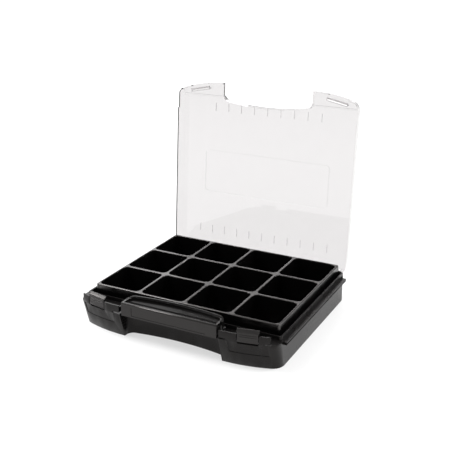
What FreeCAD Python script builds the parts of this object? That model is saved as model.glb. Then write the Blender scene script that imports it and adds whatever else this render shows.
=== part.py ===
import FreeCAD, Part
import math
import os
import re

import Sketcher
from FreeCAD import Placement, Rotation, Vector

# Parts organizer: a shallow case with a clear lid that opens at the back, a
# twelve-cell insert tray, a grip bar set into the front edge and a hinged latch
# on each side of it.
#
# Millimetres, +Z up, X across the case, -Y to the front. The origin is on the
# underside, at the middle of the closed case's plan. Depths ahead of the origin
# are kept in the sheet as positive numbers.

SIZES = {
    # plan of the case
    "half_width": 177.5,
    "front_edge": 158.0,
    "back_edge": 158.0,
    "flat_half": 90.0,
    "front_radius": 229.0,
    "corner_radius": 20.0,
    # base
    "wall": 2.5,
    "floor": 2.5,
    "front_lean": 13.0,
    "shoulder": 44.0,
    "ceiling": 41.5,
    "ridge_front": 121.5,
    "ridge_half": 175.2,
    "ridge_top": 50.1,
    "ridge_corner": 4.0,
    "ridge_end": 143.0,
    "back_top": 48.4,
    "plate_back": 139.0,
    "plate_top": 58.0,
    "plate_wall": 2.5,
    "plate_gap": 0.8,
    "plate_rise": 12.0,
    "return_inset": 1.1,
    "return_top": 3.0,
    "plate_slot_top": 46.6,
    "near_slot_end": 101.0,
    "far_slot_start": 159.0,
    "latch_slot_drop": 2.2,
    "latch_slot_depth": 5.0,
    "inner_plate_end": 117.4,
    "outer_plate_start": 151.6,
    "outer_plate_end": 167.0,
    "panel_start": 102.5,
    "panel_end": 164.0,
    "panel_bottom": 23.5,
    "panel_depth": 0.8,
    # how far cutters and joined solids run past a face
    "overlap": 1.0,
    "beyond": 5.0,
    # side rails
    "rail_half": 183.5,
    "rail_front": 121.0,
    "rail_back": 140.5,
    "rail_bottom": 38.3,
    "rail_top": 43.0,
    "rail_slot_low": 39.1,
    "rail_slot_high": 41.7,
    "rail_slot_depth": 4.5,
    "rail_slot_end": 3.0,
    # finger recess, bow wall and grip bar
    "recess_half": 88.0,
    "recess_back": 122.6,
    "recess_corner": 12.0,
    "arch_radius": 450.0,
    "bow_half": 84.5,
    "bow_wall": 2.2,
    "bow_top": 66.0,
    "bow_shoulder": 63.2,
    "bow_front": 142.0,
    "grip_half": 85.0,
    "grip_front": 157.5,
    "grip_bottom": 42.5,
    "grip_top": 64.3,
    "grip_wall": 3.0,
    "grip_gap": 0.9,
    "grip_rear_depth": 9.0,
    "grip_bar_depth": 14.0,
    "grip_ceiling": 58.4,
    "grip_rear_half": 83.4,
    "grip_rear_lip": 1.5,
    "grip_dish": 61.2,
    "grip_edge": 2.6,
    "grip_end_edge": 1.2,
    "grip_label_half": 66.0,
    "grip_label_depth": 0.6,
    "grip_label_low": 2.5,
    "grip_label_high": 4.0,
    # insert tray
    "tray_half_x": 166.0,
    "tray_half_y": 129.5,
    "tray_centre": 19.7,
    "tray_top": 62.2,
    "tray_lift": 0.2,
    "tray_rim": 3.2,
    "tray_corner": 3.2,
    "tray_edge": 1.8,
    "cell_edge": 1.0,
    "tray_draft": 3.0,
    "band": 4.8,
    "column_line": 83.8,
    "row_line": 43.9,
    "cell_corner": 9.0,
    "tray_sheet": 1.1,
    "tray_deck": 3.0,
    "tray_skirt": 24.0,
    "cell_draft": 1.5,
    # lid
    "lid_bottom": 50.4,
    "lid_top": 72.0,
    "lid_rim_half": 174.4,
    "lid_top_half": 170.4,
    "lid_wall": 2.0,
    "lid_step": 3.0,
    "lid_step_line": 133.0,
    "lid_skirt": 59.0,
    "lid_side_skirt": 53.0,
    "lid_side_skirt_line": 107.0,
    "lid_notch_half": 86.2,
    "lid_notch_back": 120.0,
    "lid_lip_bottom": 64.0,
    "lid_back": 157.6,
    "lid_label_half": 124.0,
    "lid_label_low": 105.0,
    "lid_label_high": 185.0,
    "lid_label_rise": 0.5,
    "lid_label_line": 1.2,
    "lid_label_corner": 8.0,
    "rib_length": 15.0,
    "rib_width": 1.0,
    "rib_drop": 1.4,
    "rib_pitch": 26.0,
    "rib_back_start": 40.0,
    # lid hinge
    "hinge_back": 155.0,
    "hinge_height": 43.0,
    "hinge_middle": 110.0,
    "knuckle_width": 30.0,
    "knuckle_radius": 3.0,
    "hinge_pin_radius": 1.5,
    "hinge_play": 0.06,
    "hinge_gap": 0.4,
    "lug_width": 6.0,
    "lug_depth": 3.6,
    "lug_drop": 6.0,
    "lid_open": 94.2,
    # latches
    "latch_middle": 134.5,
    "latch_width": 32.0,
    "latch_axis_height": 47.0,
    "latch_axis_depth": 2.6,
    "latch_height": 18.6,
    "latch_head": 34.4,
    "latch_head_low": 14.6,
    "latch_boss": 2.3,
    "latch_pin_radius": 1.0,
    "latch_play": 0.06,
    "latch_lug": 4.5,
    "latch_lug_front": 1.5,
    "latch_back": 1.2,
    "latch_hook": 3.0,
    "latch_hook_back": 3.6,
    "latch_crest": 1.8,
    "latch_face_inset": 0.4,
    "latch_head_rise": 0.3,
    "latch_ridge_low": 6.2,
    "latch_ridge_high": 9.4,
    "latch_ridge_width": 1.4,
    "latch_ridge_rise": 0.7,
    "seat_gap": 0.8,
    "seat_front": 12.5,
    "seat_depth": 20.0,
    "ledge_back": 4.6,
    "ledge_depth": 6.0,
    "ledge_height": 2.2,
    "seat_wall_back": 7.5,
}

doc = FreeCAD.newDocument("parts_organizer")
sheet = doc.addObject("Spreadsheet::Sheet", "Sizes")
for row, (alias, number) in enumerate(SIZES.items(), start=1):
    sheet.set("A%d" % row, alias)
    sheet.set("B%d" % row, str(number))
    sheet.setAlias("B%d" % row, alias)
doc.recompute()


# ---------------------------------------------------------------- sheet helpers

def in_sheet(formula):
    """The formula with every sheet alias written as a reference to its cell."""
    def reference(match):
        word = match.group()
        return "Sizes." + word if word in SIZES else word
    return re.sub(r"[a-z_]+", reference, formula)


def size(formula):
    """The number that a formula over the sheet's aliases stands for."""
    return float(sheet.evalExpression(in_sheet(formula)))


def bind(thing, path, formula):
    """Bind one property of an object to a formula over the sheet."""
    thing.setExpression(path, in_sheet(formula))


# --------------------------------------------------------------- sketch helpers

def new_body(name):
    return doc.addObject("PartDesign::Body", name)


def new_sketch(body, plane_role, level="0"):
    """A sketch on one of the body's own origin planes, lifted to a level."""
    plane = next(f for f in body.Origin.OriginFeatures if f.Role == plane_role)
    sketch = body.newObject("Sketcher::SketchObject", body.Name + "_sketch")
    sketch.AttachmentSupport = (plane, [""])
    sketch.MapMode = "FlatFace"
    bind(sketch, "AttachmentOffset.Base.z", level)
    return sketch


def add_line(sketch, start, end):
    return sketch.addGeometry(Part.LineSegment(Vector(*start, 0), Vector(*end, 0)))


def add_arc(sketch, centre, radius, first, last):
    """A counter-clockwise arc; the angles are in radians."""
    circle = Part.Circle(Vector(*centre, 0), Vector(0, 0, 1), radius)
    return sketch.addGeometry(Part.ArcOfCircle(circle, first, last))


def dimension(sketch, kind, ends, formula):
    """A dimension that the sheet drives."""
    index = sketch.addConstraint(Sketcher.Constraint(kind, *ends, size(formula)))
    name = "size_%d" % index
    sketch.renameConstraint(index, name)
    bind(sketch, "Constraints." + name, formula)


def locate(sketch, axis, geometry, point, formula):
    """Hold one point of a sketch at a signed distance from the origin."""
    kind = "DistanceX" if axis == "x" else "DistanceY"
    if size(formula) >= 0:
        dimension(sketch, kind, (-1, 1, geometry, point), formula)
    else:
        dimension(sketch, kind, (geometry, point, -1, 1), "-(%s)" % formula)


def chain(sketch, geometry, kinds):
    """Join a closed run of geometry end to start, each joint plain or tangent."""
    following = geometry[1:] + geometry[:1]
    for kind, before, after in zip(kinds, geometry, following):
        sketch.addConstraint(Sketcher.Constraint(kind, before, 2, after, 1))


def polygon(sketch, corners):
    """A closed polygon whose corners are pairs of formulas."""
    points = [(size(across), size(along)) for across, along in corners]
    lines = [add_line(sketch, start, end) for start, end in zip(points, points[1:] + points[:1])]
    chain(sketch, lines, ["Coincident"] * len(lines))
    for geometry, (across, along) in zip(lines, corners):
        locate(sketch, "x", geometry, 1, across)
        locate(sketch, "y", geometry, 1, along)


def rounded_rectangle(sketch, left, right, low, high, corner):
    """A rectangle with equal round corners; every argument is a formula."""
    x0, x1, y0, y1, r = (size(f) for f in (left, right, low, high, corner))
    quarter = math.pi / 2
    parts = [
        add_line(sketch, (x0 + r, y0), (x1 - r, y0)),
        add_arc(sketch, (x1 - r, y0 + r), r, -quarter, 0),
        add_line(sketch, (x1, y0 + r), (x1, y1 - r)),
        add_arc(sketch, (x1 - r, y1 - r), r, 0, quarter),
        add_line(sketch, (x1 - r, y1), (x0 + r, y1)),
        add_arc(sketch, (x0 + r, y1 - r), r, quarter, 2 * quarter),
        add_line(sketch, (x0, y1 - r), (x0, y0 + r)),
        add_arc(sketch, (x0 + r, y0 + r), r, 2 * quarter, 3 * quarter),
    ]
    chain(sketch, parts, ["Tangent"] * len(parts))
    for kind, geometry in (("Horizontal", 0), ("Vertical", 2), ("Horizontal", 4), ("Vertical", 6)):
        sketch.addConstraint(Sketcher.Constraint(kind, parts[geometry]))
    locate(sketch, "y", parts[0], 1, low)
    locate(sketch, "x", parts[2], 1, right)
    locate(sketch, "y", parts[4], 1, high)
    locate(sketch, "x", parts[6], 1, left)
    for geometry in parts[1::2]:
        dimension(sketch, "Radius", (geometry,), corner)


def case_outline(body, level, half, front, back, corner="corner_radius"):
    """The plan of the case at one level: a flat middle front that turns into two
    large arcs and then into the round corners, with straight sides and back."""
    sketch = new_sketch(body, "XY_Plane", level)
    flat, large = size("flat_half"), size("front_radius")
    w, f, b, r = size(half), size(front), size(back), size(corner)
    reach = large - r
    across = w - r - flat
    turn = math.asin(across / reach)
    corner_y = large - f - math.sqrt(reach ** 2 - across ** 2)
    quarter = math.pi / 2
    parts = [
        add_line(sketch, (-flat, -f), (flat, -f)),
        add_arc(sketch, (flat, large - f), large, -quarter, turn - quarter),
        add_arc(sketch, (w - r, corner_y), r, turn - quarter, 0),
        add_line(sketch, (w, corner_y), (w, b - r)),
        add_arc(sketch, (w - r, b - r), r, 0, quarter),
        add_line(sketch, (w - r, b), (r - w, b)),
        add_arc(sketch, (r - w, b - r), r, quarter, 2 * quarter),
        add_line(sketch, (-w, b - r), (-w, corner_y)),
        add_arc(sketch, (r - w, corner_y), r, 2 * quarter, 3 * quarter - turn),
        add_arc(sketch, (-flat, large - f), large, 3 * quarter - turn, 3 * quarter),
    ]
    chain(sketch, parts, ["Tangent"] * len(parts))
    for kind, geometry in (("Horizontal", 0), ("Vertical", 3), ("Horizontal", 5), ("Vertical", 7)):
        sketch.addConstraint(Sketcher.Constraint(kind, parts[geometry]))
    locate(sketch, "x", parts[0], 1, "-flat_half")
    locate(sketch, "x", parts[0], 2, "flat_half")
    locate(sketch, "y", parts[0], 1, "-(%s)" % front)
    locate(sketch, "x", parts[3], 1, half)
    locate(sketch, "y", parts[5], 1, back)
    locate(sketch, "x", parts[7], 1, "-(%s)" % half)
    for geometry in (parts[1], parts[9]):
        dimension(sketch, "Radius", (geometry,), "front_radius")
    for geometry in (parts[2], parts[4], parts[6], parts[8]):
        dimension(sketch, "Radius", (geometry,), corner)
    return sketch


def recess_outline(body, level, half, back, mouth, corner="recess_corner"):
    """The plan of the front recess: straight sides, round corners, bowed back."""
    sketch = new_sketch(body, "XY_Plane", level)
    w, b, m, r, large = size(half), size(back), size(mouth), size(corner), size("arch_radius")
    turn = math.acos((w - r) / (large - r))
    corner_y = -b - large + math.sqrt((large - r) ** 2 - (w - r) ** 2)
    parts = [
        add_line(sketch, (-w, -m), (w, -m)),
        add_line(sketch, (w, -m), (w, corner_y)),
        add_arc(sketch, (w - r, corner_y), r, 0, turn),
        add_arc(sketch, (0, -b - large), large, turn, math.pi - turn),
        add_arc(sketch, (r - w, corner_y), r, math.pi - turn, math.pi),
        add_line(sketch, (-w, corner_y), (-w, -m)),
    ]
    chain(sketch, parts, ["Coincident"] + ["Tangent"] * 4 + ["Coincident"])
    for kind, geometry in (("Horizontal", 0), ("Vertical", 1), ("Vertical", 5)):
        sketch.addConstraint(Sketcher.Constraint(kind, parts[geometry]))
    sketch.addConstraint(Sketcher.Constraint("PointOnObject", parts[3], 3, -2))
    locate(sketch, "x", parts[0], 2, half)
    locate(sketch, "x", parts[0], 1, "-(%s)" % half)
    locate(sketch, "y", parts[0], 1, "-(%s)" % mouth)
    locate(sketch, "y", parts[3], 3, "-(%s) - arch_radius" % back)
    dimension(sketch, "Radius", (parts[2],), corner)
    dimension(sketch, "Radius", (parts[3],), "arch_radius")
    dimension(sketch, "Radius", (parts[4],), corner)
    return sketch


# ---------------------------------------------------------------- solid helpers

def pad(body, sketch, length, both_ways=False, backwards=False):
    feature = body.newObject("PartDesign::Pad", body.Name + "_pad")
    feature.Profile = sketch
    feature.Midplane = both_ways
    feature.Reversed = backwards
    bind(feature, "Length", length)
    body.Tip = feature
    return feature


def pocket(body, sketch, length, backwards=False, both_ways=False):
    feature = body.newObject("PartDesign::Pocket", body.Name + "_pocket")
    feature.Profile = sketch
    feature.Reversed = backwards
    feature.Midplane = both_ways
    bind(feature, "Length", length)
    body.Tip = feature
    return feature


def loft(body, lower, upper):
    feature = body.newObject("PartDesign::AdditiveLoft", body.Name + "_loft")
    feature.Profile = lower
    feature.Sections = [upper]
    feature.Ruled = True
    body.Tip = feature
    return feature


def case_prism(name, level, height, half, front, back, corner="corner_radius"):
    body = new_body(name)
    pad(body, case_outline(body, level, half, front, back, corner), height)
    return body


def recess_prism(name, level, height, half, back, mouth, corner="recess_corner"):
    body = new_body(name)
    pad(body, recess_outline(body, level, half, back, mouth, corner), height)
    return body


def box(name, x0, x1, y0, y1, z0, z1):
    """A box between pairs of formulas."""
    solid = doc.addObject("Part::Box", name)
    for path, low, high in (("Length", x0, x1), ("Width", y0, y1), ("Height", z0, z1)):
        bind(solid, path, "(%s) - (%s)" % (high, low))
    for path, low in (("x", x0), ("y", y0), ("z", z0)):
        bind(solid, "Placement.Base." + path, low)
    return solid


def mirrored_boxes(name, x0, x1, y0, y1, z0, z1):
    """The same box on the right and on the left."""
    right = box(name + "_right", x0, x1, y0, y1, z0, z1)
    left = box(name + "_left", "-(%s)" % x1, "-(%s)" % x0, y0, y1, z0, z1)
    return [right, left]


def cylinder_x(name, radius, length, x, y, z):
    """A cylinder along X from one end point."""
    solid = doc.addObject("Part::Cylinder", name)
    solid.Placement = Placement(Vector(0, 0, 0), Rotation(Vector(0, 1, 0), 90))
    bind(solid, "Radius", radius)
    bind(solid, "Height", length)
    for path, formula in (("x", x), ("y", y), ("z", z)):
        bind(solid, "Placement.Base." + path, formula)
    return solid


def fuse(name, solids):
    result = doc.addObject("Part::MultiFuse", name)
    result.Shapes = solids
    result.Refine = False
    return result


def common(name, solids):
    result = doc.addObject("Part::MultiCommon", name)
    result.Shapes = solids
    result.Refine = False
    return result


def cut(name, solid, tool):
    result = doc.addObject("Part::Cut", name)
    result.Base = solid
    result.Tool = tool
    result.Refine = False
    return result


def in_turn(name, kind, solid, tools):
    """Add or cut several solids one after another; the last result has the name."""
    for index, tool in enumerate(tools, start=1):
        step_name = name if index == len(tools) else "%s_step_%d" % (name, index)
        step = doc.addObject(kind, step_name)
        step.Base = solid
        step.Tool = tool
        step.Refine = False
        solid = step
    return solid


def join_in_turn(name, solid, additions):
    return in_turn(name, "Part::Fuse", solid, additions)


def cut_in_turn(name, solid, tools):
    return in_turn(name, "Part::Cut", solid, tools)


def extruded_polygon(name, plane_role, corners, length, both_ways=True):
    body = new_body(name)
    sketch = new_sketch(body, plane_role)
    polygon(sketch, corners)
    pad(body, sketch, length, both_ways)
    return body


# ----------------------------------------------------------------- latch places

def latch_frame(side):
    """Where a latch turns: on the front arc, behind its face, square to it."""
    reach = size("latch_middle - flat_half")
    turn = math.asin(reach / size("front_radius"))
    inner = size("front_radius - latch_axis_depth")
    along = size("flat_half") + inner * math.sin(turn)
    depth = size("front_radius - front_edge") - inner * math.cos(turn)
    spot = Vector(side * along, depth, size("latch_axis_height"))
    return Placement(spot, Rotation(Vector(0, 0, 1), side * math.degrees(turn)))


SIDES = (("left", -1), ("right", 1))
LATCH_FRAMES = {name: latch_frame(side) for name, side in SIDES}


# ------------------------------------------------------------------- base shell

def ridge_block(name, level, height, inset):
    """The square-cornered block of the upper rim, inset all round, kept inside
    the round back corners of the case."""
    block = new_body(name + "_block")
    sketch = new_sketch(block, "XY_Plane", level)
    rounded_rectangle(sketch, "-ridge_half + " + inset, "ridge_half - " + inset,
                      "-ridge_front + " + inset, "back_edge + beyond", "ridge_corner")
    pad(block, sketch, height)
    limit = case_prism(name + "_limit", level + " - overlap", height + " + 2 * overlap",
                       "half_width - " + inset,
                       "front_edge", "back_edge - " + inset, "corner_radius - " + inset)
    return common(name, [block, limit])


def base_outside():
    """The solid outside of the base: leaning front, side rails and upper rim."""
    hull = new_body("base_hull")
    foot = case_outline(hull, "0", "half_width", "front_edge - front_lean", "back_edge")
    shoulder = case_outline(hull, "shoulder", "half_width", "front_edge", "back_edge")
    loft(hull, foot, shoulder)
    rim = ridge_block("base_rim", "shoulder - overlap", "ridge_top - shoulder + overlap", "0")
    rails = mirrored_boxes("base_rail", "half_width - wall", "rail_half",
                           "-rail_front", "rail_back", "rail_bottom", "rail_top")
    return fuse("base_outside", [hull, rim] + rails)


def rail_slots():
    """A narrow slot along the outer face of each side rail."""
    return mirrored_boxes("rail_slot", "rail_half - rail_slot_depth", "rail_half + beyond",
                          "-rail_front - beyond", "rail_back - rail_slot_end",
                          "rail_slot_low", "rail_slot_high")


def shoulder_slots():
    """A gap in the shoulder under each latch, between its two lugs."""
    slots = []
    for name, side in SIDES:
        slot = doc.addObject("Part::Box", "latch_slot_" + name)
        bind(slot, "Length", "latch_width + hinge_gap")
        bind(slot, "Width", "latch_slot_depth + beyond")
        bind(slot, "Height", "latch_slot_drop + overlap")
        corner = Vector(-size("(latch_width + hinge_gap) / 2"), -size("latch_axis_depth + beyond"),
                        size("shoulder - latch_slot_drop - latch_axis_height"))
        slot.Placement = LATCH_FRAMES[name].multiply(Placement(corner, Rotation()))
        slots.append(slot)
    return slots


def front_plates():
    """Curtain plates on the shoulder, on both sides of each latch."""
    outer = case_prism("plate_outer", "shoulder - overlap", "plate_top - shoulder + overlap",
                       "half_width", "front_edge", "back_edge")
    inner = case_prism("plate_inner", "shoulder - 2 * overlap", "plate_top - shoulder + beyond",
                       "half_width - plate_wall", "front_edge - plate_wall", "back_edge - wall",
                       "corner_radius - plate_wall")
    curtain = cut("plate_curtain", outer, inner)
    front = "-front_edge - overlap"
    foot_low, foot_high = "shoulder - overlap", "plate_slot_top + overlap"
    spans = mirrored_boxes("plate_near", "recess_half + plate_gap", "inner_plate_end",
                           front, "-plate_back", "plate_slot_top", "plate_top")
    spans += mirrored_boxes("plate_near_foot", "near_slot_end", "inner_plate_end",
                            front, "-plate_back", foot_low, foot_high)
    spans += mirrored_boxes("plate_far", "outer_plate_start", "outer_plate_end",
                            front, "-plate_back + plate_rise", "plate_slot_top", "plate_top")
    spans += mirrored_boxes("plate_far_foot", "outer_plate_start", "far_slot_start",
                            front, "-plate_back + plate_rise", foot_low, foot_high)
    plates = common("plate_faces", [curtain, fuse("plate_spans", spans)])
    returns = mirrored_boxes("plate_return", "recess_half + grip_gap",
                             "recess_half + wall + grip_gap", "-front_edge + return_inset",
                             "-plate_back + return_inset", "plate_slot_top + 0.1",
                             "plate_top - return_top")
    return returns + [plates]


def latch_lugs(name, side):
    """Two lugs that hold the ends of one latch pin."""
    lugs = []
    for end, direction in (("inner", -1), ("outer", 1)):
        lug = doc.addObject("Part::Box", "latch_lug_%s_%s" % (name, end))
        bind(lug, "Length", "latch_lug")
        bind(lug, "Width", "latch_boss * 2 + latch_lug_front")
        bind(lug, "Height", "latch_boss * 2 + 2 * overlap")
        near = size("latch_width / 2 + hinge_gap")
        start = near if direction > 0 else -near - size("latch_lug")
        drop = -size("latch_axis_height - shoulder + overlap")
        corner = Vector(start, -size("latch_lug_front"), drop)
        lug.Placement = LATCH_FRAMES[name].multiply(Placement(corner, Rotation()))
        lugs.append(lug)
    return lugs


def bow_wall():
    """The raised wall that wraps the back of the front recess."""
    outside = new_body("bow_outside")
    low = recess_outline(outside, "shoulder - 2 * overlap", "recess_half + bow_wall",
                         "recess_back - bow_wall", "bow_front", "recess_corner + bow_wall")
    high = recess_outline(outside, "bow_top", "bow_half + bow_wall", "recess_back - bow_wall",
                          "bow_front", "recess_corner + bow_wall")
    loft(outside, low, high)
    profile = extruded_polygon("bow_profile", "XZ_Plane", [
        ("-recess_half - 6", "shoulder - 4"),
        ("recess_half + 6", "shoulder - 4"),
        ("recess_half + 6", "bow_shoulder - 4"),
        ("bow_half + 3", "bow_shoulder"),
        ("bow_half - 3", "bow_top - 0.6"),
        ("bow_half - 10", "bow_top"),
        ("-bow_half + 10", "bow_top"),
        ("-bow_half + 3", "bow_top - 0.6"),
        ("-bow_half - 3", "bow_shoulder"),
        ("-recess_half - 6", "bow_shoulder - 4"),
    ], "front_edge * 3")
    return common("bow_blank", [outside, profile])


def recess_space():
    """The finger recess, and above it the tapering space inside the bow wall."""
    body = new_body("recess_space")
    mouth = "front_edge + 4 * beyond"
    low = recess_outline(body, "shoulder - 3", "recess_half", "recess_back", mouth)
    pad(body, low, "shoulder", backwards=True)
    high = recess_outline(body, "bow_top + 2", "bow_half", "recess_back", mouth)
    loft(body, low, high)
    return body


def base_cavity(surround):
    """Everything that is hollow inside the base."""
    lower = new_body("cavity_lower")
    low = case_outline(lower, "floor", "half_width - wall", "front_edge - front_lean - wall",
                       "back_edge - wall", "corner_radius - wall")
    high = case_outline(lower, "ceiling", "half_width - wall",
                        "front_edge - wall - front_lean * wall / shoulder",
                        "back_edge - wall", "corner_radius - wall")
    loft(lower, low, high)
    upper = ridge_block("cavity_upper", "ceiling - overlap", "ridge_top - ceiling + beyond", "wall")
    return cut("base_cavity", fuse("base_hollow", [lower, upper]), surround)


def front_panels():
    """Shallow fields in the leaning front below the latches."""
    fields = fuse("panel_spans", mirrored_boxes(
        "panel_span", "panel_start", "panel_end", "-front_edge - 4", "-plate_back + 24",
        "panel_bottom", "shoulder + 0.5"))
    core = new_body("panel_core")
    low = case_outline(core, "0", "half_width - panel_depth",
                       "front_edge - front_lean - panel_depth", "back_edge")
    high = case_outline(core, "shoulder + 1", "half_width - panel_depth",
                        "front_edge - panel_depth + front_lean / shoulder", "back_edge")
    loft(core, low, high)
    trim = box("panel_trim", "-rail_half", "rail_half", "-front_edge - 5", "0",
               "shoulder", "shoulder + 2")
    return cut("panel_fields", cut("panel_cutter", fields, core), trim)


def hinge_lugs():
    """Blocks inside the back wall that hold the ends of the lid's hinge pins."""
    solids = []
    reach = "knuckle_width / 2 + hinge_gap"
    for name, start in (("near", "hinge_middle - (%s) - lug_width" % reach),
                        ("far", "hinge_middle + (%s)" % reach)):
        solids += mirrored_boxes("hinge_lug_" + name, start, "(%s) + lug_width" % start,
                                 "hinge_back - lug_depth", "back_edge - wall / 2",
                                 "hinge_height - lug_drop", "back_top")
    return solids


def hinge_gaps():
    """Openings in the back wall where the lid's knuckles turn."""
    reach = "knuckle_width / 2 + hinge_gap"
    return mirrored_boxes("hinge_gap", "hinge_middle - (%s)" % reach,
                          "hinge_middle + (%s)" % reach, "hinge_back - 3.8", "back_edge + 5",
                          "hinge_height - knuckle_radius - 0.6", "back_top + 10")


def pin_shape(name, radius, length, place):
    """A plain pin along X, centred on its place."""
    pin = doc.addObject("Part::Cylinder", name)
    bind(pin, "Radius", radius)
    bind(pin, "Height", length)
    start = Vector(-size(length) / 2, 0, 0)
    pin.Placement = place.multiply(Placement(start, Rotation(Vector(0, 1, 0), 90)))
    return pin


LATCH_PIN_LENGTH = "latch_width + 2 * hinge_gap + 2 * latch_lug - 2"
HINGE_PIN_LENGTH = "knuckle_width + 2 * hinge_gap + 2 * lug_width - 2"


def hinge_place(side):
    return Placement(Vector(side * size("hinge_middle"), size("hinge_back"),
                            size("hinge_height")), Rotation())


def make_base():
    bow = bow_wall()
    recess_walls = recess_prism("recess_walls", "-overlap", "shoulder + overlap",
                                "recess_half + wall", "recess_back - wall",
                                "front_edge + 4 * beyond", "recess_corner + wall")
    surround = fuse("base_surround", [recess_walls, bow])
    block = fuse("base_block", [base_outside(), bow])
    shell = cut("base_walls", block, base_cavity(surround))
    lugs = [lug for name, side in SIDES for lug in latch_lugs(name, side)]
    solid = join_in_turn("base_solid", shell, lugs + hinge_lugs() + front_plates())
    low_back = box("back_lowering", "-rail_half", "rail_half", "ridge_end", "back_edge + 2",
                   "back_top", "ridge_top + 2")
    pins = [pin_shape("latch_bore_" + name, "latch_pin_radius", LATCH_PIN_LENGTH,
                      LATCH_FRAMES[name]) for name, side in SIDES]
    pins += [pin_shape("hinge_bore_" + name, "hinge_pin_radius", HINGE_PIN_LENGTH,
                       hinge_place(side)) for name, side in SIDES]
    cutters = [recess_space(), low_back, front_panels()] + pins + hinge_gaps()
    cutters += rail_slots() + shoulder_slots()
    return cut_in_turn("base_shell", solid, cutters)


# ------------------------------------------------------------------ insert tray

def cell_columns():
    """Left and right edges of the four columns."""
    half = "band / 2"
    rim = "tray_half_x - tray_rim"
    return [("-(%s)" % rim, "-column_line - %s" % half), ("-column_line + %s" % half, "-" + half),
            (half, "column_line - %s" % half), ("column_line + %s" % half, rim)]


def cell_rows():
    """Front and back edges of the three rows."""
    half = "band / 2"
    rim = "tray_half_y - tray_rim"
    return [("-(%s)" % rim, "-row_line - %s" % half),
            ("-row_line + %s" % half, "row_line - %s" % half),
            ("row_line + %s" % half, rim)]


def cell_sketch(body, level, growth):
    """Twelve round-cornered cells, each grown by the same amount."""
    sketch = new_sketch(body, "XY_Plane", level)
    for left, right in cell_columns():
        for low, high in cell_rows():
            rounded_rectangle(sketch, "%s - %s" % (left, growth), "%s + %s" % (right, growth),
                              "%s - %s" % (low, growth), "%s + %s" % (high, growth),
                              "cell_corner + %s" % growth)
    return sketch


def at_level(edge, level):
    bounds = edge.BoundBox
    return abs(bounds.ZMin - level) < 1e-4 and abs(bounds.ZMax - level) < 1e-4


def on_rim(edge):
    """Whether an edge belongs to the tray's outer outline."""
    bounds = edge.BoundBox
    reach_x = max(abs(bounds.XMin), abs(bounds.XMax))
    reach_y = max(abs(bounds.YMin), abs(bounds.YMax))
    return (reach_x > size("tray_half_x - tray_rim / 2")
            or reach_y > size("tray_half_y - tray_rim / 2"))


def soften_edges(body, base, radius, wanted):
    """Round the chosen edges of a body's newest feature."""
    edges = ["Edge%d" % index for index, edge in enumerate(base.Shape.Edges, start=1)
             if wanted(edge)]
    feature = body.newObject("PartDesign::Fillet", body.Name + "_" + radius)
    feature.Base = (base, edges)
    bind(feature, "Radius", radius)
    body.Tip = feature
    doc.recompute()


def make_tray():
    """A thin formed tray: a deck with a skirt, and twelve tapering cups."""
    body = new_body("insert_tray")
    depth = "(tray_top - floor - tray_lift)"
    deck = new_sketch(body, "XY_Plane", depth)
    rounded_rectangle(deck, "-tray_half_x", "tray_half_x", "-tray_half_y", "tray_half_y",
                      "tray_corner")
    skirt = pad(body, deck, "tray_skirt", backwards=True)
    bind(skirt, "TaperAngle", "tray_draft")
    under = new_sketch(body, "XY_Plane", depth + " - tray_skirt")
    rounded_rectangle(under, "-tray_half_x + tray_sheet", "tray_half_x - tray_sheet",
                      "-tray_half_y + tray_sheet", "tray_half_y - tray_sheet",
                      "tray_corner - tray_sheet")
    pocket(body, under, "tray_skirt - tray_deck", backwards=True)
    sunk = depth + " - overlap"
    cups = pad(body, cell_sketch(body, sunk, "tray_sheet"), sunk, backwards=True)
    bind(cups, "TaperAngle", "-cell_draft")
    cells = pocket(body, cell_sketch(body, depth, "0"), depth + " - tray_sheet")
    bind(cells, "TaperAngle", "-cell_draft")
    doc.recompute()
    top = size(depth)
    soften_edges(body, cells, "cell_edge", lambda edge: at_level(edge, top) and not on_rim(edge))
    soften_edges(body, body.Tip, "tray_edge", lambda edge: at_level(edge, top) and on_rim(edge))
    bind(body, "Placement.Base.y", "tray_centre")
    bind(body, "Placement.Base.z", "floor + tray_lift")
    return body


# -------------------------------------------------------------------------- lid

def lid_loft(name, inset, low, high):
    """The lid's tapering box, inset all round, between two levels."""
    body = new_body(name)
    drop = "(lid_rim_half - lid_top_half) / (lid_top - lid_bottom)"
    outlines = []
    for level in (low, high):
        half = "lid_rim_half - %s - (%s - lid_bottom) * %s" % (inset, level, drop)
        front = "front_edge - %s - (%s - lid_bottom) * %s / 4" % (inset, level, drop)
        outlines.append(case_outline(body, level, half, front, "lid_back - " + inset,
                                     "corner_radius - 6 - " + inset))
    loft(body, *outlines)
    return body


def lid_ribs():
    """Short locating ribs under the panel, in a front row and a back row."""
    ribs = []
    rows = (("front", range(-4, 5), "-recess_back + 3"), ("back", range(-5, 6), "hinge_back - rib_back_start"))
    for row_name, steps, start in rows:
        for step in steps:
            x = "rib_pitch * %d" % step
            ribs.append(box("rib_%s_%d" % (row_name, step + 5), x + " - rib_width / 2",
                            x + " + rib_width / 2", start, start + " + rib_length",
                            "lid_top - lid_wall - rib_drop", "lid_top - lid_wall / 2"))
    return ribs


def lid_label_ring():
    """A raised outline on top of the panel that frames a blank label field."""
    body = new_body("lid_label")
    sketch = new_sketch(body, "XY_Plane", "lid_top - 0.5")
    for inset in ("0", "lid_label_line"):
        rounded_rectangle(sketch, "-lid_label_half + " + inset, "lid_label_half - " + inset,
                          "hinge_back - lid_label_high + " + inset,
                          "hinge_back - lid_label_low - " + inset, "lid_label_corner - " + inset)
    pad(body, sketch, "lid_label_rise + 0.5")
    return body


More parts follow.
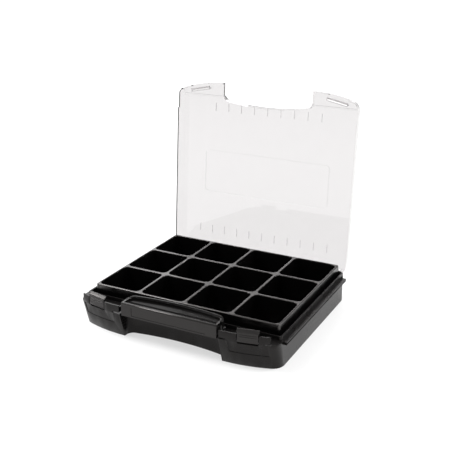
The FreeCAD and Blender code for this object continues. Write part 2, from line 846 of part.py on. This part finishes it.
def latch_seat(name):
    """The block of the lid that gives way to a latch, and the ledge left there."""
    clear = doc.addObject("Part::Box", "latch_clearance_" + name)
    half = size("latch_head / 2") + 1
    for path, formula in (("Length", "latch_head + 2"), ("Width", "seat_depth"),
                          ("Height", "latch_height + seat_gap")):
        bind(clear, path, formula)
    clear.Placement = LATCH_FRAMES[name].multiply(
        Placement(Vector(-half, -size("seat_front"), 0), Rotation()))
    ledge = doc.addObject("Part::Box", "latch_ledge_" + name)
    for path, formula in (("Length", "latch_head + 4"), ("Width", "ledge_depth"),
                          ("Height", "ledge_height")):
        bind(ledge, path, formula)
    rise = size("lid_skirt - latch_axis_height")
    ledge.Placement = LATCH_FRAMES[name].multiply(
        Placement(Vector(-half - 1, size("ledge_back"), rise), Rotation()))
    wall = doc.addObject("Part::Box", "latch_wall_" + name)
    for path, formula in (("Length", "latch_head + 4"), ("Width", "lid_wall"),
                          ("Height", "lid_top - lid_step - lid_skirt - 1")):
        bind(wall, path, formula)
    wall.Placement = LATCH_FRAMES[name].multiply(
        Placement(Vector(-half - 1, size("seat_wall_back"), rise), Rotation()))
    return clear, [ledge, wall]


def lid_knuckles():
    """Knuckles on the lid's back wall that turn on the hinge pins."""
    solids = []
    for name, side in SIDES:
        start = "%d * hinge_middle - knuckle_width / 2" % side
        barrel = cylinder_x("knuckle_" + name, "knuckle_radius", "knuckle_width",
                            start, "hinge_back", "hinge_height")
        arm = box("knuckle_arm_" + name, start, start + " + knuckle_width",
                  "lid_back - lid_wall - 1", "lid_back", "hinge_height", "lid_bottom + 4")
        solids += [barrel, arm]
    return solids


def make_lid():
    """The lid is shaped closed, then turned open about its hinge."""
    outside = lid_loft("lid_outside", "0", "lid_bottom", "lid_top")
    step = box("lid_step_cut", "-rail_half", "rail_half", "-front_edge - 5", "-lid_step_line",
               "lid_top - lid_step", "lid_top + 5")
    skirt = box("lid_skirt_cut", "-outer_plate_end - 1.5", "outer_plate_end + 1.5",
                "-front_edge - 5", "-plate_back + 2", "lid_bottom - 5", "lid_skirt")
    side_skirt = box("lid_side_cut", "-rail_half", "rail_half", "-front_edge - 5",
                     "-lid_side_skirt_line", "lid_bottom - 5", "lid_side_skirt")
    body = cut("lid_body", outside, fuse("lid_trims", [step, skirt, side_skirt]))
    hollow = lid_loft("lid_hollow", "lid_wall", "lid_bottom - 1", "lid_top - lid_wall")
    low_roof = box("lid_low_roof", "-rail_half", "rail_half", "-front_edge - 5",
                   "-lid_step_line + lid_wall", "lid_top - lid_step - lid_wall", "lid_top + 5")
    lip = recess_prism("lid_lip", "lid_lip_bottom", "20", "lid_notch_half + lid_wall",
                       "lid_notch_back - lid_wall", "front_edge + 20",
                       "recess_corner + lid_wall")
    cavity = cut("lid_cavity", hollow, fuse("lid_keep", [low_roof, lip]))
    seats = [latch_seat(name) for name, side in SIDES]
    shell = cut("lid_shell", cut("lid_open_shell", body, cavity),
                fuse("lid_latch_cuts", [clear for clear, added in seats]))
    additions = [solid for clear, added in seats for solid in added]
    solid = fuse("lid_solid", [shell, lid_label_ring()] + additions + lid_ribs() + lid_knuckles())
    notch = recess_prism("lid_notch", "lid_bottom", "60", "lid_notch_half", "lid_notch_back",
                         "front_edge + 20")
    bores = []
    for name, side in SIDES:
        bores.append(pin_shape("knuckle_bore_" + name, "hinge_pin_radius + hinge_play",
                               "knuckle_width + 4", hinge_place(side)))
    lid = cut("lid", solid, fuse("lid_cutters", [notch] + bores))
    axis = Vector(0, size("hinge_back"), size("hinge_height"))
    lid.Placement = Placement(Vector(0, 0, 0), Rotation(Vector(1, 0, 0), -size("lid_open")), axis)
    return lid


# --------------------------------------------------------------------- grip bar

def make_handle():
    """A grip bar with a C section, closed by a plate that runs back to the bow wall."""
    bar = box("grip_bar", "-grip_half", "grip_half", "-grip_front",
              "-grip_front + grip_bar_depth", "grip_bottom", "grip_top")
    rear = recess_prism("grip_rear", "grip_top - grip_rear_depth", "grip_rear_depth",
                        "grip_rear_half", "recess_back + grip_gap", "grip_front - beyond",
                        "recess_corner - 1")
    hollow_bar = box("grip_hollow", "-grip_half + grip_wall", "grip_half - grip_wall",
                     "-grip_front + grip_wall", "-grip_front + grip_bar_depth + 2",
                     "grip_bottom - overlap", "grip_ceiling")
    hollow_rear = recess_prism("grip_rear_hollow", "grip_top - grip_rear_depth - overlap",
                               "grip_ceiling - grip_top + grip_rear_depth + overlap",
                               "grip_rear_half - grip_wall", "recess_back + grip_gap + grip_wall",
                               "grip_front - grip_wall", "recess_corner - 1 - grip_wall")
    field = box("grip_label", "-grip_label_half", "grip_label_half", "-grip_front - 1",
                "-grip_front + grip_label_depth", "grip_bottom + grip_label_low",
                "grip_top - grip_label_high")
    dish = extruded_polygon("grip_dish_profile", "YZ_Plane", [
        ("-grip_front + grip_edge + 1.5", "grip_top + 2"),
        ("-grip_front + grip_edge + 1.5", "grip_top"),
        ("-grip_front + grip_bar_depth + 2", "grip_dish"),
        ("-recess_back + 10", "grip_dish"),
        ("-recess_back + 10", "grip_top + 2"),
    ], "grip_half * 4")
    within = recess_prism("grip_dish_limit", "grip_dish - 1", "10",
                          "grip_rear_half - grip_rear_lip",
                          "recess_back + grip_gap + grip_rear_lip",
                          "grip_front - grip_edge", "recess_corner - 1 - grip_rear_lip")
    blank = cut("grip_blank", fuse("grip_solid", [bar, rear]),
                fuse("grip_cutters", [hollow_bar, hollow_rear, field,
                                      common("grip_dish_cut", [dish, within])]))
    doc.recompute()
    handle = doc.addObject("Part::Fillet", "handle")
    handle.Base = blank
    front, top = -size("grip_front"), size("grip_top")
    chosen = []
    for index, edge in enumerate(blank.Shape.Edges, start=1):
        bounds = edge.BoundBox
        if bounds.YMax - front < 1e-4 and bounds.ZMin > top - 1e-4:
            chosen.append((index, size("grip_edge"), size("grip_edge")))
        if bounds.YMax - front < 1e-4 and abs(bounds.XMin) > size("grip_half") - 1e-4:
            if bounds.ZLength > 10 and bounds.XLength < 1e-4:
                chosen.append((index, size("grip_end_edge"), size("grip_end_edge")))
    handle.Edges = chosen
    return handle


# ---------------------------------------------------------------------- latches

def make_latch(name):
    """A latch flap: boss round the pin, flat face with two grip ridges, and a
    thick sloped head that hooks back over the lid's ledge."""
    body = new_body("latch_" + name)
    sketch = new_sketch(body, "YZ_Plane")
    face = "-latch_axis_depth + latch_face_inset"
    head_face = face + " - latch_head_rise"
    polygon(sketch, [
        (face, "-latch_boss + 0.6"),
        ("latch_back", "-latch_boss + 0.6"),
        ("latch_back", "latch_head_low + overlap"),
        (face, "latch_head_low + overlap"),
    ])
    pad(body, sketch, "latch_width", both_ways=True)
    head = new_sketch(body, "YZ_Plane")
    polygon(head, [
        (head_face, "latch_head_low - 0.6"),
        ("latch_back", "latch_head_low - 0.6"),
        ("latch_back", "latch_height - latch_hook"),
        ("latch_hook_back", "latch_height - latch_hook"),
        ("latch_hook_back", "latch_height"),
        ("latch_crest", "latch_height"),
        (head_face, "latch_head_low"),
    ])
    pad(body, head, "latch_head", both_ways=True)
    for level in ("latch_ridge_low", "latch_ridge_high"):
        ridge = new_sketch(body, "YZ_Plane")
        crest = face + " - latch_ridge_rise"
        polygon(ridge, [
            (face + " + 0.5", level),
            (face + " + 0.5", level + " + latch_ridge_width"),
            (crest, level + " + latch_ridge_width - 0.3"),
            (crest, level + " + 0.3"),
        ])
        pad(body, ridge, "latch_width - beyond", both_ways=True)
    boss = new_sketch(body, "YZ_Plane")
    boss.addGeometry(Part.Circle(Vector(0, 0, 0), Vector(0, 0, 1), size("latch_boss")))
    boss.addConstraint(Sketcher.Constraint("Coincident", 0, 3, -1, 1))
    dimension(boss, "Radius", (0,), "latch_boss")
    pad(body, boss, "latch_width", both_ways=True)
    bore = new_sketch(body, "YZ_Plane")
    bore.addGeometry(Part.Circle(Vector(0, 0, 0), Vector(0, 0, 1),
                                 size("latch_pin_radius")))
    bore.addConstraint(Sketcher.Constraint("Coincident", 0, 3, -1, 1))
    dimension(bore, "Radius", (0,), "latch_pin_radius + latch_play")
    pocket(body, bore, "latch_width + 4", both_ways=True)
    body.Placement = LATCH_FRAMES[name]
    return body


# ---------------------------------------------------------------- whole assembly

subparts = [make_base(), make_tray(), make_handle(), make_lid()]
for side_name, side_sign in SIDES:
    subparts.append(make_latch(side_name))
    subparts.append(pin_shape("latch_pin_" + side_name, "latch_pin_radius", LATCH_PIN_LENGTH,
                              LATCH_FRAMES[side_name]))
    subparts.append(pin_shape("hinge_pin_" + side_name, "hinge_pin_radius", HINGE_PIN_LENGTH,
                              hinge_place(side_sign)))
doc.recompute()

faults = [item.Name for item in doc.Objects if "Invalid" in item.State or "Error" in item.State]
faults += [item.Name + " is empty" for item in doc.Objects
           if item.TypeId == "Part::MultiCommon" and not item.Shape.Solids]
for item in subparts:
    if item.Shape.isNull() or not item.Shape.isValid():
        faults.append(item.Label + " shape")
if faults:
    raise RuntimeError("failed objects: " + ", ".join(faults))

os.makedirs("parts", exist_ok=True)
for item in subparts:
    item.Shape.exportStep("parts/%s.step" % item.Label)
    bounds = item.Shape.BoundBox
    print("%-18s solids %d  volume %9.0f  x %7.1f %7.1f  y %7.1f %7.1f  z %7.1f %7.1f" % (
        item.Label, len(item.Shape.Solids), item.Shape.Volume, bounds.XMin, bounds.XMax,
        bounds.YMin, bounds.YMax, bounds.ZMin, bounds.ZMax))
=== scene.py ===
"""Parts organizer: a black moulded case with a clear open lid, an insert tray, a grip bar and two latches.

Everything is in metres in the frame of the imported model: X to the right, Y to the back, Z up.
"""
import math

import bpy
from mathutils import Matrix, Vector

# ---------------------------------------------------------------- view
CAMERA_PLACE = (0.5849, -1.0960, 0.6108)
CAMERA_AZIMUTH = 27.34
CAMERA_ELEVATION = 20.05
CAMERA_LENS = 64.2
SENSOR = 36.0

# ---------------------------------------------------------------- light
WHITE = (1.0, 1.0, 1.0, 1.0)
# Strength of the surroundings overhead and at the horizon, and the heights
# on a unit sphere between which one turns into the other.
WORLD_HIGH = 0.72
WORLD_LOW = 1.02
WORLD_TURN = (0.21, 0.33)

# Half the floor's side (m), its colour and roughness, and its glow near the
# case and far from it, with the distances (m) between which it changes.
FLOOR_HALF = 14.0
FLOOR_GREY = 0.34
FLOOR_ROUGH = 0.6
FLOOR_SHEEN = 0.3
GLOW_NEAR = 0.59
GLOW_FAR = 0.78
GLOW_REACH = (0.5, 3.2)

# name: place (m), size (m), power (W), point that it faces (m)
LAMPS = {
    "key": ((-1.90, -0.60, 2.50), (1.3, 1.3), 112.0, (0.0, 0.0, 0.05)),
    "right_back": ((2.0, 1.3, 1.9), (1.8, 1.4), 84.0, (0.7, 0.4, 0.0)),
    "low_back": ((-1.75, 3.40, 1.55), (3.0, 1.5), 24.0, (0.0, 0.0, 0.06)),
}

# ---------------------------------------------------------------- finishes
# Moulded blacks: darkest and lightest colour, least and greatest roughness,
# grain scale (per metre), grain depth (m) and how strongly the surface reflects.
CASE = dict(dark=(0.0026, 0.0024, 0.0024), light=(0.0044, 0.0040, 0.0039), smooth=0.22, rough=0.31,
            grain=2600.0, depth=0.000014, specular=0.22)
GRIP = dict(dark=(0.0026, 0.0024, 0.0024), light=(0.0044, 0.0040, 0.0039), smooth=0.16, rough=0.23,
            grain=3000.0, depth=0.000008, specular=0.39)
LATCH = dict(dark=(0.0026, 0.0024, 0.0024), light=(0.0046, 0.0042, 0.0041), smooth=0.18, rough=0.26,
             grain=3000.0, depth=0.000002, specular=0.38)
TRAY = dict(dark=(0.0010, 0.0009, 0.0009), light=(0.0018, 0.0017, 0.0017), smooth=0.14, rough=0.20,
            grain=1800.0, depth=0.000004, specular=0.60)

# Marks and a painted warm tint that all the blacks share: scales are per metre.
# Painted reflection colour: a warm tint on the blacks' reflections that stands in for warm light from the
# floor.
WARM_SHEEN = (1.0, 0.95, 0.93, 1.0)
PLASTIC_BEND = 1.5
PATCH_SCALE = 14.0
STREAK_SCALE = 40.0
STREAK_SQUEEZE = (1.0, 1.0, 18.0)
STREAK_DULLING = 0.05

# The clear sheet: scales of its clouds and waves are per metre, the depth is in metres.
LID_TINT = (0.630, 0.618, 0.619, 1.0)
LID_BEND = 1.40
LID_ROUGH = (0.012, 0.02)
LID_CLOUDS = 12.0
LID_WAVES = 9.0
LID_WAVE_DEPTH = 0.00025
LID_SHADOW_TINT = (0.95, 0.95, 0.955, 1.0)

# The pins: the lines' scale is per metre and their depth is in metres.
STEEL_GREY = (0.5, 0.5, 0.51, 1.0)
STEEL_ROUGH = (0.22, 0.42)
STEEL_LINES = 4000.0
STEEL_SQUEEZE = (0.05, 1.0, 1.0)
STEEL_DEPTH = 0.000004

# The part of the grip bar's height and depth (m) that its dish takes up, and the weak reflection strength
# there that paints the shade falling in the dish.
DISH_LEVELS = (0.0600, 0.0641)
DISH_DEPTHS = (-0.1530, -0.1200)
DISH_SHADE_SPECULAR = 0.05

# Widths of the rounded edges (m), the least edge angle that is rounded, and
# the distance (m) under which double vertices are joined first.
EDGE_ROUND = {"base_shell": 0.0004, "handle": 0.0003, "latch_left": 0.0003, "latch_right": 0.0003}
EDGE_ANGLE = 32.0
WELD_REACH = 0.000004


def look(node, **inputs):
    """Sets a shader node's inputs by name, with underscores for spaces."""
    for name, value in inputs.items():
        node.inputs[name.replace("_", " ")].default_value = value
    return node


def new_material(name):
    """An empty node material and its output node."""
    material = bpy.data.materials.new(name)
    material.use_nodes = True
    tree = material.node_tree
    tree.nodes.clear()
    output = tree.nodes.new("ShaderNodeOutputMaterial")
    return material, tree, output


def add(tree, kind, **settings):
    """A new node of a kind, with its settings."""
    node = tree.nodes.new(kind)
    for name, value in settings.items():
        setattr(node, name, value)
    return node


def noise(tree, place, scale, detail=3.0, rough=0.5):
    """A noise texture in object space."""
    node = add(tree, "ShaderNodeTexNoise")
    look(node, Scale=scale, Detail=detail, Roughness=rough)
    tree.links.new(place, node.inputs["Vector"])
    return node.outputs["Fac"]


def spread(tree, source, low, high, start=0.3, end=0.7):
    """Maps the part of a pattern between start and end to low..high."""
    node = add(tree, "ShaderNodeMapRange")
    look(node, To_Min=low, To_Max=high, From_Min=start, From_Max=end)
    tree.links.new(source, node.inputs["Value"])
    return node.outputs["Result"]


def stretched(tree, place, scale):
    """Object space squeezed along its axes, for marks that run one way."""
    node = add(tree, "ShaderNodeMapping")
    look(node, Scale=scale)
    tree.links.new(place, node.inputs["Vector"])
    return node.outputs["Vector"]


def sum_of(tree, first, second):
    """Two patterns added."""
    node = add(tree, "ShaderNodeMath", operation="ADD")
    tree.links.new(first, node.inputs[0])
    tree.links.new(second, node.inputs[1])
    return node.outputs["Value"]


def bump(tree, height, depth, shader):
    """Gives a shader a relief of some depth."""
    node = add(tree, "ShaderNodeBump")
    look(node, Strength=1.0, Distance=depth)
    tree.links.new(height, node.inputs["Height"])
    tree.links.new(node.outputs["Normal"], shader.inputs["Normal"])


def moulded_plastic(name, dark, light, smooth, rough, grain, depth, specular):
    """Moulded black plastic: a fine grain, soft patches in sheen and colour, and faint rubbed streaks."""
    material, tree, output = new_material(name)
    # The specular tint paints the warmth of the floor's light into every reflection.
    shader = look(add(tree, "ShaderNodeBsdfPrincipled"), IOR=PLASTIC_BEND, Specular_IOR_Level=specular,
                  Specular_Tint=WARM_SHEEN)
    tree.links.new(shader.outputs["BSDF"], output.inputs["Surface"])
    place = add(tree, "ShaderNodeTexCoord").outputs["Object"]
    patches = noise(tree, place, PATCH_SCALE, 4.0)
    tint = add(tree, "ShaderNodeMix", data_type="RGBA")
    tree.links.new(patches, tint.inputs["Factor"])
    tint.inputs["A"].default_value = (*dark, 1.0)
    tint.inputs["B"].default_value = (*light, 1.0)
    tree.links.new(tint.outputs["Result"], shader.inputs["Base Color"])
    streaks = noise(tree, stretched(tree, place, STREAK_SQUEEZE), STREAK_SCALE, 5.0, 0.6)
    rubbed = spread(tree, streaks, 0.0, STREAK_DULLING, 0.5, 0.8)
    sheen = sum_of(tree, spread(tree, patches, smooth, rough), rubbed)
    tree.links.new(sheen, shader.inputs["Roughness"])
    bump(tree, noise(tree, place, grain, 2.0), depth, shader)
    return material


def level_mask(tree, place, axis, low, high):
    """1 where a coordinate of object space lies between two levels, else 0."""
    split = add(tree, "ShaderNodeSeparateXYZ")
    tree.links.new(place, split.inputs["Vector"])
    above = add(tree, "ShaderNodeMath", operation="GREATER_THAN")
    above.inputs[1].default_value = low
    below = add(tree, "ShaderNodeMath", operation="LESS_THAN")
    below.inputs[1].default_value = high
    for test in (above, below):
        tree.links.new(split.outputs[axis], test.inputs[0])
    both = add(tree, "ShaderNodeMath", operation="MULTIPLY")
    tree.links.new(above.outputs["Value"], both.inputs[0])
    tree.links.new(below.outputs["Value"], both.inputs[1])
    return both.outputs["Value"]


def grip_plastic(name):
    """The grip bar's plastic, with painted shade in the dish on its top: it reflects far less there."""
    material = moulded_plastic(name, **GRIP)
    tree = material.node_tree
    shader = next(node for node in tree.nodes if node.type == "BSDF_PRINCIPLED")
    place = add(tree, "ShaderNodeTexCoord").outputs["Object"]
    field = add(tree, "ShaderNodeMath", operation="MULTIPLY")
    tree.links.new(level_mask(tree, place, "Z", *DISH_LEVELS), field.inputs[0])
    tree.links.new(level_mask(tree, place, "Y", *DISH_DEPTHS), field.inputs[1])
    # Painted shade: inside the dish the reflection strength drops from the grip's own value to the dish's
    # low one.
    tree.links.new(spread(tree, field.outputs["Value"], GRIP["specular"], DISH_SHADE_SPECULAR, 0.0, 1.0),
                   shader.inputs["Specular IOR Level"])
    return material


def clear_plastic(name):
    """Clear moulded sheet: it bends light a little at its edges, and lets the lamps through."""
    material, tree, output = new_material(name)
    glass = look(add(tree, "ShaderNodeBsdfPrincipled"), IOR=LID_BEND, Transmission_Weight=1.0,
                 Base_Color=LID_TINT)
    place = add(tree, "ShaderNodeTexCoord").outputs["Object"]
    tree.links.new(spread(tree, noise(tree, place, LID_CLOUDS, 2.0), *LID_ROUGH), glass.inputs["Roughness"])
    bump(tree, noise(tree, place, LID_WAVES, 1.0), LID_WAVE_DEPTH, glass)
    through = look(add(tree, "ShaderNodeBsdfTransparent"), Color=LID_SHADOW_TINT)
    path = add(tree, "ShaderNodeLightPath")
    mix = add(tree, "ShaderNodeMixShader")
    tree.links.new(path.outputs["Is Shadow Ray"], mix.inputs["Fac"])
    tree.links.new(glass.outputs["BSDF"], mix.inputs[1])
    tree.links.new(through.outputs["BSDF"], mix.inputs[2])
    tree.links.new(mix.outputs["Shader"], output.inputs["Surface"])
    return material


def steel(name):
    """Plain drawn steel for the pins."""
    material, tree, output = new_material(name)
    shader = look(add(tree, "ShaderNodeBsdfPrincipled"), Metallic=1.0, Base_Color=STEEL_GREY)
    place = add(tree, "ShaderNodeTexCoord").outputs["Object"]
    lines = noise(tree, stretched(tree, place, STEEL_SQUEEZE), STEEL_LINES, 2.0)
    tree.links.new(spread(tree, lines, *STEEL_ROUGH), shader.inputs["Roughness"])
    bump(tree, lines, STEEL_DEPTH, shader)
    tree.links.new(shader.outputs["BSDF"], output.inputs["Surface"])
    return material


def white_floor():
    """A plain pale floor that runs past the picture and glows a little, more away from the lamps."""
    bpy.ops.mesh.primitive_plane_add(size=2 * FLOOR_HALF, location=(0, 0, 0))
    floor = bpy.context.object
    floor.name = "floor"
    material, tree, output = new_material("floor_white")
    shader = look(add(tree, "ShaderNodeBsdfPrincipled"), Roughness=FLOOR_ROUGH,
                  Specular_IOR_Level=FLOOR_SHEEN, Base_Color=(FLOOR_GREY, FLOOR_GREY, FLOOR_GREY, 1.0),
                  Emission_Color=WHITE)
    distance = add(tree, "ShaderNodeVectorMath", operation="LENGTH")
    tree.links.new(add(tree, "ShaderNodeTexCoord").outputs["Object"], distance.inputs[0])
    tree.links.new(spread(tree, distance.outputs["Value"], GLOW_NEAR, GLOW_FAR, *GLOW_REACH),
                   shader.inputs["Emission Strength"])
    tree.links.new(shader.outputs["BSDF"], output.inputs["Surface"])
    floor.data.materials.append(material)


def soft_box(name, place, size, power, target):
    """A rectangular studio softbox that faces a point."""
    lamp = bpy.data.lights.new(name, "AREA")
    lamp.shape = "RECTANGLE"
    lamp.size, lamp.size_y = size
    lamp.energy = power
    thing = bpy.data.objects.new(name, lamp)
    thing.location = place
    thing.rotation_euler = (Vector(target) - Vector(place)).to_track_quat("-Z", "Y").to_euler()
    bpy.context.scene.collection.objects.link(thing)


def studio():
    """White surroundings, brightest at the horizon, with softboxes."""
    world = bpy.data.worlds.new("studio")
    bpy.context.scene.world = world
    world.use_nodes = True
    tree = world.node_tree
    split = add(tree, "ShaderNodeSeparateXYZ")
    tree.links.new(add(tree, "ShaderNodeTexCoord").outputs["Generated"], split.inputs["Vector"])
    background = look(tree.nodes["Background"], Color=WHITE)
    strength = spread(tree, split.outputs["Z"], WORLD_LOW, WORLD_HIGH, *WORLD_TURN)
    tree.links.new(strength, background.inputs["Strength"])
    for name, (place, size, power, target) in LAMPS.items():
        soft_box(name, place, size, power, target)


def camera():
    """The picture's view."""
    data = bpy.data.cameras.new("camera")
    data.lens = CAMERA_LENS
    data.sensor_width = SENSOR
    thing = bpy.data.objects.new("camera", data)
    thing.location = CAMERA_PLACE
    thing.rotation_euler = (math.radians(90 - CAMERA_ELEVATION), 0.0, math.radians(CAMERA_AZIMUTH))
    bpy.context.scene.collection.objects.link(thing)
    bpy.context.scene.camera = thing


def dress(node, material):
    """Gives a carried-over CAD node its finish."""
    node.data.materials.clear()
    node.data.materials.append(material)


def soften(node, width):
    """Rounds a moulding's sharp edges as its mould does."""
    weld = node.modifiers.new("weld", "WELD")
    weld.merge_threshold = WELD_REACH
    bevel = node.modifiers.new("round", "BEVEL")
    bevel.width = width
    bevel.segments = 2
    bevel.limit_method = "ANGLE"
    bevel.angle_limit = math.radians(EDGE_ANGLE)
    bevel.harden_normals = True
    bevel.miter_outer = "MITER_ARC"


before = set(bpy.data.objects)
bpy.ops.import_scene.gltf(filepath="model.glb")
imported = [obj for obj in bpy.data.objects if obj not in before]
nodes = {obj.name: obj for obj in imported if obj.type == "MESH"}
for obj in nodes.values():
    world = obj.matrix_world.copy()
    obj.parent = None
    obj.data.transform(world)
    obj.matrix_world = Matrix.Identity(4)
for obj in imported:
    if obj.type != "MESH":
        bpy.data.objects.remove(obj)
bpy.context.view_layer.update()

bpy.context.scene.view_settings.view_transform = "Standard"
camera()
studio()
white_floor()

finish = {
    "base_shell": moulded_plastic("case_black", **CASE),
    "handle": grip_plastic("grip_black"),
    "latch_left": moulded_plastic("latch_black", **LATCH),
    "insert_tray": moulded_plastic("tray_black", **TRAY),
    "lid": clear_plastic("lid_clear"),
    "latch_pin_left": steel("pin_steel"),
}
finish["latch_right"] = finish["latch_left"]
for name in ("latch_pin_right", "hinge_pin_left", "hinge_pin_right"):
    finish[name] = finish["latch_pin_left"]
for name, material in finish.items():
    dress(nodes[name], material)
for name, width in EDGE_ROUND.items():
    soften(nodes[name], width)
